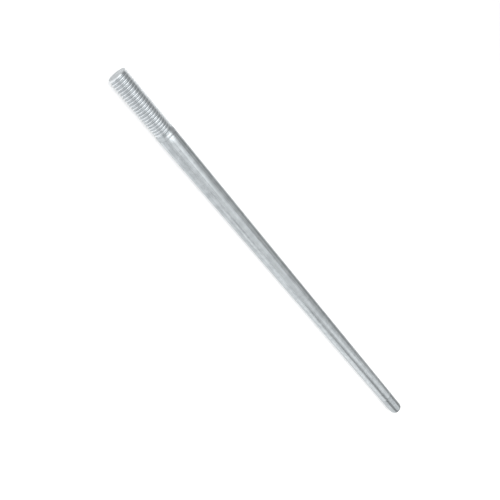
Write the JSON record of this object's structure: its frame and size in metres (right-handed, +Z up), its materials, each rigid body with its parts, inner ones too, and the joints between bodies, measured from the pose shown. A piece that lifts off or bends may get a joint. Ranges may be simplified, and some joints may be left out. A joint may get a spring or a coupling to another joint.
{
  "type": "mixer shaft",
  "caption": "Straight round steel shaft of a drill paint mixer: plain end for the drill chuck, coarse threaded end for a screw-on paddle.",
  "frame": {"origin": "under the middle of the shaft, on the surface that it lies on", "axes": "+X along the shaft from the threaded end to the plain drive end, +Z up"},
  "size_m": [0.4, 0.012, 0.012],
  "materials": {
    "plated_tube": "satin zinc-plated steel with faint lengthwise drawing streaks",
    "plated_thread": "satin zinc-plated steel, brighter on the thread crests and darker in the roots",
    "turned_shank": "plated steel, turned, a little darker and sharper than the tube"
  },
  "bodies": {
    "root": {"shaft_tube": "plated_tube", "threaded_stud": "plated_thread", "drive_shank": "turned_shank"}
  },
  "joints": []
}
